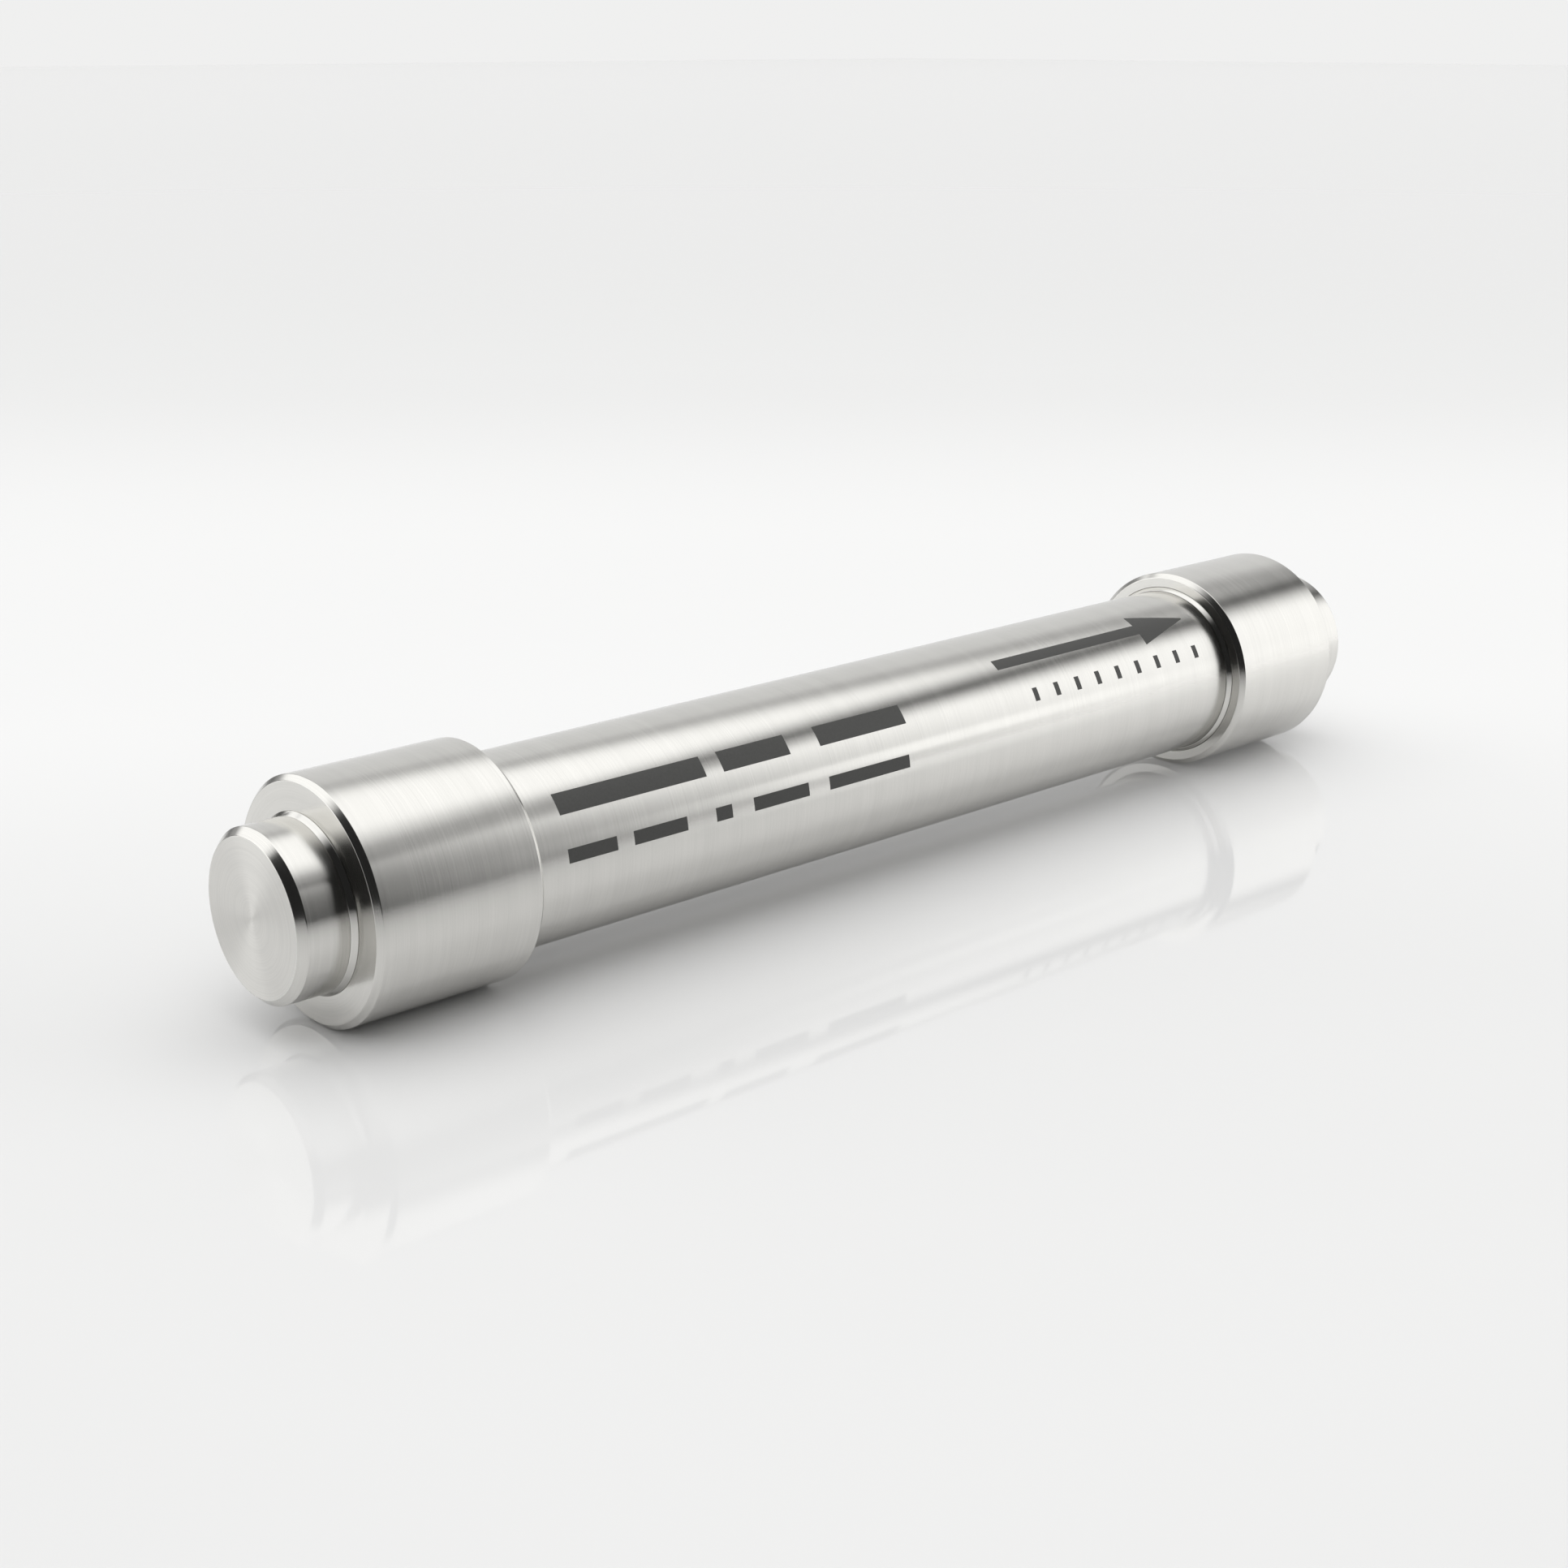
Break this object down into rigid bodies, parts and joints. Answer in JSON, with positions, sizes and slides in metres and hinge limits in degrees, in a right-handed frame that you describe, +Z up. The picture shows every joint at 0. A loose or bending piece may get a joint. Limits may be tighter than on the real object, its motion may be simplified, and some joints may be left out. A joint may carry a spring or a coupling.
{
  "type": "hplc column",
  "caption": "Short liquid-chromatography column: steel tube with packed bed, round end fittings with frits inside, and screwed blanking plugs in the ports.",
  "frame": {"origin": "centre of the outlet plug's flat face, which the column stands on", "axes": "+Z up along the column's axis, from the outlet end to the inlet end; X and Y are alike, because every piece is round"},
  "size_m": [0.0116, 0.0116, 0.0739],
  "materials": {
    "tube_steel": "satin, turned and polished along its round",
    "fitting_steel": "satin, turned, with a faced end",
    "collar_steel": "bright turned",
    "plug_steel": "satin, turned, with a faced end",
    "washer_steel": "bright turned",
    "disc_steel": "lapped",
    "pin_steel": "drawn",
    "frit_steel": "sintered, matt",
    "peek": "natural PEEK, turned",
    "silica": "packed fine powder"
  },
  "bodies": {
    "column": {"column_tube": "tube_steel", "packed_bed": "silica", "inlet_end_fitting": "fitting_steel", "inlet_collar": "collar_steel", "inlet_frit": "frit_steel", "inlet_frit_ring": "peek", "inlet_distributor": "disc_steel", "outlet_end_fitting": "fitting_steel", "outlet_collar": "collar_steel", "outlet_frit": "frit_steel", "outlet_frit_ring": "peek", "outlet_distributor": "disc_steel"},
    "inlet_washer_carrier": {"inlet_plug_washer": "washer_steel"},
    "inlet_blanking_plug": {"inlet_plug": "plug_steel", "inlet_plug_pin": "pin_steel", "inlet_plug_ferrule": "peek"},
    "outlet_washer_carrier": {"outlet_plug_washer": "washer_steel"},
    "outlet_blanking_plug": {"outlet_plug": "plug_steel", "outlet_plug_pin": "pin_steel", "outlet_plug_ferrule": "peek"}
  },
  "joints": [
    {"name": "inlet_plug_travel", "type": "slide", "parent": "column", "child": "inlet_washer_carrier", "axis": [0, 0, 1], "range_m": [0, 0.00317]},
    {"name": "inlet_plug_turn", "type": "hinge", "parent": "inlet_washer_carrier", "child": "inlet_blanking_plug", "pos_m": [0, 0, 0.0712], "axis": [0, 0, 1], "range_deg": [0, 1440]},
    {"name": "outlet_plug_travel", "type": "slide", "parent": "column", "child": "outlet_washer_carrier", "axis": [0, 0, -1], "range_m": [0, 0.00317]},
    {"name": "outlet_plug_turn", "type": "hinge", "parent": "outlet_washer_carrier", "child": "outlet_blanking_plug", "pos_m": [0, 0, 0.0035], "axis": [0, 0, -1], "range_deg": [0, 1440]}
  ],
  "couplings": [
    {"joint": "inlet_plug_turn", "follows": "inlet_plug_travel", "rad_per_m": 7915.8},
    {"joint": "outlet_plug_turn", "follows": "outlet_plug_travel", "rad_per_m": 7915.8}
  ]
}
